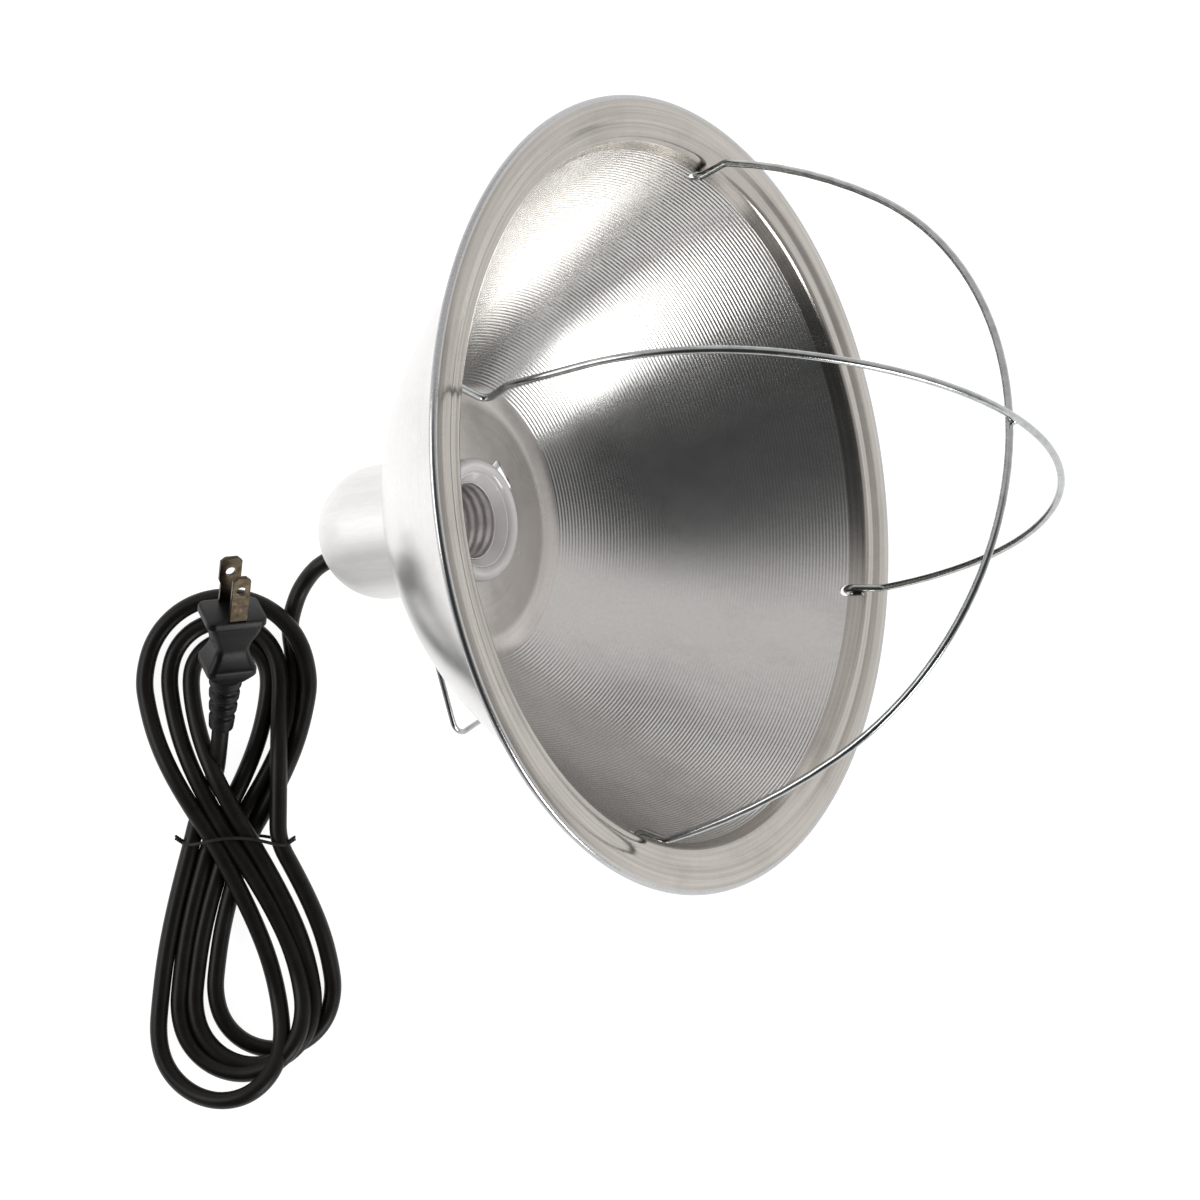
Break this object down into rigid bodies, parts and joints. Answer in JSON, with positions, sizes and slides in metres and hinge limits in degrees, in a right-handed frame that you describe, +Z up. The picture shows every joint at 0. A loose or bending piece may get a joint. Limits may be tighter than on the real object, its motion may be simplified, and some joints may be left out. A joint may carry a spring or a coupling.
{
  "type": "heat lamp fixture",
  "caption": "Heat lamp with a spun aluminium reflector, porcelain lamp socket, crossed wire guard, wire hanging bail and a tied mains cord with plug.",
  "frame": {"origin": "on the surface the lamp lies on, below the centre of the lamp's bounding box without its cord", "axes": "+Z up from the surface; +X the horizontal direction the mouth of the reflector faces; the lamp's axis lies in the XZ plane, 39.06 degrees above +X"},
  "size_m": [0.3256, 0.333, 0.2227],
  "materials": {
    "aluminium": "brushed, fine concentric ridges",
    "zinc_wire": "bright zinc-plated wire",
    "steel": "zinc-plated",
    "blade_metal": "dull plated",
    "plated_shell": "bright nickel plating",
    "brass": "bright",
    "porcelain": "glazed white porcelain, opaque",
    "fibre": "matte vulcanised fibre",
    "black_plastic": "satin PVC",
    "cord": "satin PVC jacket",
    "tie": "matte",
    "insulation": "glossy"
  },
  "bodies": {
    "fixture": {"reflector": "aluminium", "guard_hoop_outer": "zinc_wire", "guard_hoop_inner": "zinc_wire", "guard_weld": "zinc_wire", "fibre_washer": "fibre", "neck_collar": "steel", "collar_screw": "steel", "dome_cap": "aluminium", "dome_screws": "steel", "socket_ring": "porcelain", "socket_body": "porcelain", "screw_shell": "plated_shell", "shell_rivet": "brass", "terminal_plates": "brass", "terminal_screws": "steel", "cord_bushing": "black_plastic", "cord_knot": "cord", "conductors": "insulation", "cord_lead": "cord", "cord_hank": "cord", "cord_tail": "cord", "twist_tie": "tie", "plug_body": "black_plastic", "plug_strain_relief": "black_plastic", "plug_blade_line": "blade_metal", "plug_blade_neutral": "blade_metal"},
    "bail": {"bail": "zinc_wire"},
    "contact": {"centre_contact": "brass"}
  },
  "joints": [
    {"name": "bail_swing", "type": "hinge", "parent": "fixture", "child": "bail", "pos_m": [-0.0752, 0, 0.04385], "axis": [0.6042, 0.284, -0.7445], "range_deg": [-8, 50]},
    {"name": "contact_press", "type": "slide", "parent": "fixture", "child": "contact", "axis": [-0.7765, 0, -0.6301], "range_m": [0, 0.0012], "stiffness_N_per_m": 600}
  ]
}
